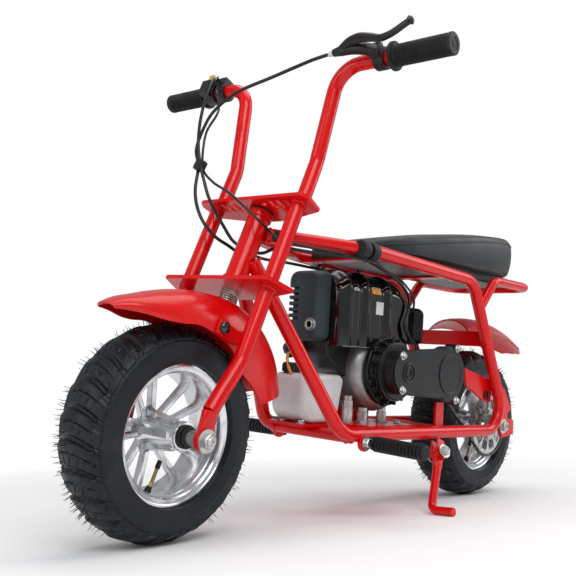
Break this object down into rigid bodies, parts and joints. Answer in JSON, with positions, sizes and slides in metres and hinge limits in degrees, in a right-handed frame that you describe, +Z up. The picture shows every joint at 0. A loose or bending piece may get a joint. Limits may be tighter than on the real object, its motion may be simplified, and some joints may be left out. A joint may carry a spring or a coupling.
{
  "type": "minibike",
  "caption": "Small off-road minibike with a tubular double-loop frame, spoked wheels on knobby tyres, chain drive, open engine and a side stand it leans on.",
  "frame": {"origin": "on the floor, under the middle of the leaning bike as seen from above", "axes": "+X forward, +Y to the rider's left, +Z up; the bike leans 6 degrees to its left, onto its side stand"},
  "size_m": [1.1053, 0.5776, 0.7407],
  "materials": {
    "red_paint": "gloss",
    "red_plastic": "gloss",
    "tyre_rubber": "matte",
    "polished_wheel": "polished",
    "zinc_steel": "satin",
    "chain_steel": "oiled",
    "cast_alloy": "cast",
    "black_plastic": "satin",
    "gloss_black": "gloss",
    "slate_plastic": "satin",
    "seat_vinyl": "satin",
    "soft_rubber": "matte",
    "tank_plastic": "satin"
  },
  "bodies": {
    "frame": {"frame_loop_left": "red_paint", "frame_loop_right": "red_paint", "head_tube": "red_paint", "cross_members": "red_paint", "dropout_plates": "red_paint", "engine_plate": "red_paint", "seat_hoop": "red_paint", "foot_peg_left": "soft_rubber", "foot_peg_right": "soft_rubber", "stand_bracket": "red_paint", "seat_pan": "black_plastic", "seat_cushion": "seat_vinyl", "rear_fender": "red_plastic", "rear_axle": "zinc_steel", "brake_caliper": "black_plastic", "drive_chain": "chain_steel", "drive_sprocket": "zinc_steel", "engine_block": "cast_alloy", "engine_cowl": "gloss_black", "muffler_guard": "slate_plastic", "fan_case": "cast_alloy", "clutch_housing": "black_plastic", "reduction_case": "black_plastic", "recoil_starter": "black_plastic", "air_filter": "black_plastic", "fuel_tank": "tank_plastic", "fuel_cap": "black_plastic"},
    "stand": {"side_stand": "red_paint"},
    "rear_wheel": {"rear_tyre": "tyre_rubber", "rear_rim": "polished_wheel", "rear_sprocket": "zinc_steel", "brake_disc": "zinc_steel"},
    "steering": {"lower_plate": "red_paint", "upper_plate": "red_paint", "steering_stem": "zinc_steel", "fork_tubes": "red_paint", "front_axle": "zinc_steel", "front_fender": "red_plastic", "handlebars": "red_paint", "grip_left": "soft_rubber", "grip_right": "soft_rubber", "brake_lever": "black_plastic", "throttle_housing": "black_plastic"},
    "front_wheel": {"front_tyre": "tyre_rubber", "front_rim": "polished_wheel"}
  },
  "joints": [
    {"name": "steering_turn", "type": "hinge", "parent": "frame", "child": "steering", "pos_m": [0.294, -0.03472, 0.35827], "axis": [-0.3681, 0.0972, 0.9247], "range_deg": [-33.7, 26.3]},
    {"name": "front_wheel_spin", "type": "hinge", "parent": "steering", "child": "front_wheel", "pos_m": [0.40775, -0.05547, 0.14435], "axis": [-0.06, 0.99, -0.1279], "continuous": true},
    {"name": "rear_wheel_spin", "type": "hinge", "parent": "frame", "child": "rear_wheel", "pos_m": [-0.3557, -0.05718, 0.14455], "axis": [0, 0.9945, -0.1045], "continuous": true},
    {"name": "stand_fold", "type": "hinge", "parent": "frame", "child": "stand", "pos_m": [-0.1177, 0.036, 0.09353], "axis": [0.1546, 0.9254, 0.346], "range_deg": [0, 131.6]}
  ]
}
